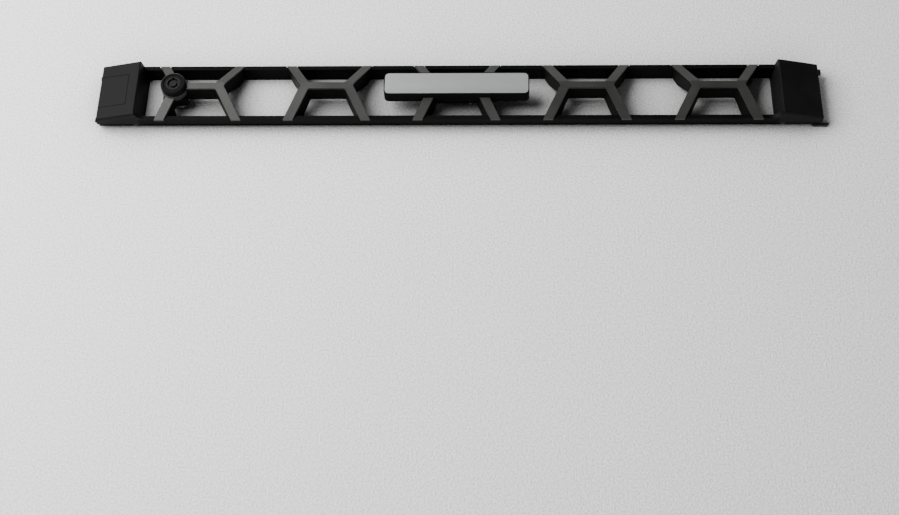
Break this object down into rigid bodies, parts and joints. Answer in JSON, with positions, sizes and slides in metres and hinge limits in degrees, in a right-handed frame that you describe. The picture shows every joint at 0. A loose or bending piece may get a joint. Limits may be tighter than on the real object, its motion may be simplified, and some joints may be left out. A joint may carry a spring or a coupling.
{
  "type": "server front bezel",
  "caption": "Black front bezel for a one-unit rack server with grey forked struts, blank silver badge, key lock and a release button for its spring latch.",
  "frame": {"origin": "middle of the whole length and height, on the back plane that the bezel lies on", "axes": "+X along the bezel towards the end with the fixed hooks, +Y up the bezel's height as it is mounted, +Z out of its front; the lock is at the -X end"},
  "size_m": [0.49, 0.0428, 0.0222],
  "materials": {
    "black_plastic": "fine textured, satin",
    "cap_plastic": "fine textured, satin",
    "grey_paint": "metallic grey paint, satin",
    "silver_metal": "fine brushed",
    "lock_black": "black, semi-gloss",
    "lock_steel": "black-plated, semi-gloss",
    "zinc_steel": "zinc plated",
    "hook_steel": "black-coated, satin",
    "spring_steel": "drawn wire"
  },
  "bodies": {
    "bezel": {"frame": "black_plastic", "strut_trim_1": "grey_paint", "strut_trim_2": "grey_paint", "strut_trim_3": "grey_paint", "strut_trim_4": "grey_paint", "strut_trim_5": "grey_paint", "badge_carrier": "black_plastic", "badge_plate": "silver_metal", "badge_screws": "zinc_steel", "left_cap": "cap_plastic", "right_cap": "cap_plastic", "left_back_cover": "black_plastic", "right_hook_plate": "hook_steel", "hook_plate_screws": "zinc_steel", "cap_screws": "hook_steel", "lock_barrel": "lock_black", "lock_nut": "zinc_steel", "latch_spring_upper": "spring_steel", "latch_spring_lower": "spring_steel"},
    "button": {"release_button": "cap_plastic"},
    "latch": {"latch_slide": "black_plastic"},
    "lock": {"lock_plug": "lock_steel", "lock_cam": "zinc_steel", "cam_screw": "zinc_steel"}
  },
  "joints": [
    {"name": "button_press", "type": "slide", "parent": "bezel", "child": "button", "axis": [0, 0, -1], "range_m": [0, 0.0025], "stiffness_N_per_m": 300, "springref_m": -0.002},
    {"name": "latch_retract", "type": "slide", "parent": "bezel", "child": "latch", "axis": [1, 0, 0], "range_m": [0, 0.0025], "deforming": ["latch_spring_upper", "latch_spring_lower"]},
    {"name": "lock_turn", "type": "hinge", "parent": "bezel", "child": "lock", "pos_m": [-0.18995, 0, 0.012], "axis": [0, 0, 1], "range_deg": [-180, 0]}
  ],
  "couplings": [
    {"joint": "latch_retract", "follows": "button_press", "ratio": 1}
  ]
}
